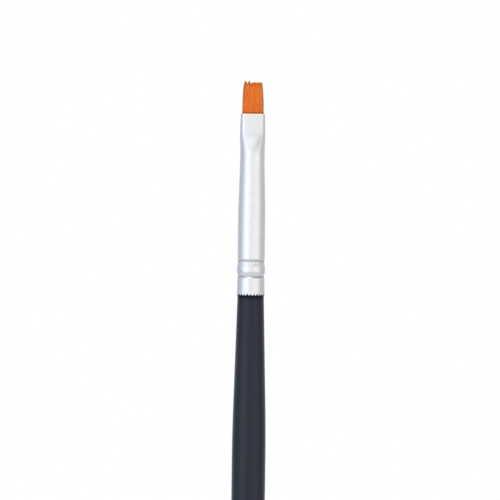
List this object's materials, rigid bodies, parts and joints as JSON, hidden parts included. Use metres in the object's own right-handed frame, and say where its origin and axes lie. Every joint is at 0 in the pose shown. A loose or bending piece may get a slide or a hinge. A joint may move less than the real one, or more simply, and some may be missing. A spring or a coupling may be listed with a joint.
{
  "type": "flat detail brush",
  "caption": "Small flat hobby brush: orange filament tuft in a flattened, crimped metal ferrule on a turned, black-lacquered handle.",
  "frame": {"origin": "centre of the handle's belly, the thickest place, on the brush's axis", "axes": "+Z along the brush towards the tip of the tuft, +X across the flat of the tuft, +Y through its thickness"},
  "size_m": [0.0064, 0.0064, 0.18],
  "materials": {
    "handle_wood": "turned hardwood, sanded",
    "black_lacquer": "satin black lacquer",
    "wood_glue": "dried glue",
    "ferrule_metal": "satin silver",
    "orange_filament": "fine orange synthetic filament",
    "binding_thread": "twisted thread",
    "root_resin": "cured resin"
  },
  "bodies": {
    "handle": {"handle_core": "handle_wood", "lacquer_coat": "black_lacquer", "tenon_glue": "wood_glue", "ferrule": "ferrule_metal", "tuft_root": "orange_filament", "root_binding": "binding_thread", "root_cement": "root_resin"},
    "tuft": {"tuft": "orange_filament"}
  },
  "joints": [
    {"name": "tuft_flex", "type": "hinge", "parent": "handle", "child": "tuft", "pos_m": [0, 0, 0.06735], "axis": [1, 0, 0], "range_deg": [-45, 45], "stiffness_Nm_per_rad": 0.00115}
  ]
}
